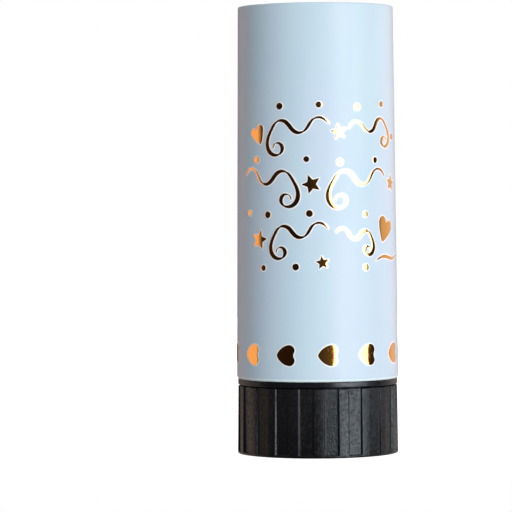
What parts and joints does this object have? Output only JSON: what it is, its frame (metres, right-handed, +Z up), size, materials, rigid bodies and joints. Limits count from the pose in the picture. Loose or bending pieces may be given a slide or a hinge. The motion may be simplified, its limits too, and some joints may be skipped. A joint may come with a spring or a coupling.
{
  "type": "confetti popper",
  "caption": "Hand-twist confetti popper: slightly tapered foil-printed paper tube on a ribbed twist base, with a cocked spring, piston and tissue slips inside.",
  "frame": {"origin": "middle of the twist base's underside, on the surface that the popper stands on", "axes": "+Z up along the tube towards its mouth; the printed front faces -Y, +X is to its right"},
  "size_m": [0.037, 0.037, 0.1021],
  "materials": {
    "kraft_core": "bare kraft board",
    "printed_paper": "pale blue, pearlescent laminate, satin",
    "gold_foil": "hot-stamped gold foil, mirror bright",
    "sleeve_paper": "uncoated",
    "black_plastic": "satin black, moulded",
    "hot_melt": "set hot-melt glue",
    "natural_plastic": "natural acetal",
    "spring_steel": "bright drawn wire",
    "black_grip_plastic": "satin black, moulded ribs",
    "grey_plastic": "dark grey, moulded",
    "white_plastic": "white, moulded",
    "card": "grey-brown card",
    "pink_tissue": "tissue paper",
    "yellow_tissue": "tissue paper",
    "blue_tissue": "tissue paper",
    "green_tissue": "tissue paper",
    "violet_tissue": "tissue paper",
    "lid_foil": "gold foil paper"
  },
  "bodies": {
    "barrel": {"paper_tube": "kraft_core", "printed_wrap": "printed_paper", "foil_hearts": "gold_foil", "foil_motif": "gold_foil", "inner_sleeve": "sleeve_paper", "spring_seat": "black_plastic", "glue_bead": "hot_melt", "catch_claws": "natural_plastic", "main_spring": "spring_steel"},
    "twist_base": {"twist_grip": "black_grip_plastic", "release_key": "grey_plastic"},
    "piston": {"piston_cup": "white_plastic", "wad_disc": "card", "slips_pink": "pink_tissue", "slips_yellow": "yellow_tissue", "slips_blue": "blue_tissue", "slips_green": "green_tissue", "slips_violet": "violet_tissue"},
    "lid": {"mouth_lid": "card", "lid_facing": "lid_foil"}
  },
  "joints": [
    {"name": "twist", "type": "hinge", "parent": "barrel", "child": "twist_base", "pos_m": [0, 0, 0], "axis": [0, 0, 1], "range_deg": [0, 90]},
    {"name": "launch", "type": "slide", "parent": "barrel", "child": "piston", "axis": [0, 0, 1], "range_m": [0, 0.045], "deforming": ["catch_claws", "main_spring"]},
    {"name": "lid_push", "type": "slide", "parent": "barrel", "child": "lid", "axis": [0, 0, 1], "range_m": [0, 0.045]}
  ],
  "couplings": [
    {"joint": "lid_push", "follows": "launch", "ratio": 1}
  ]
}
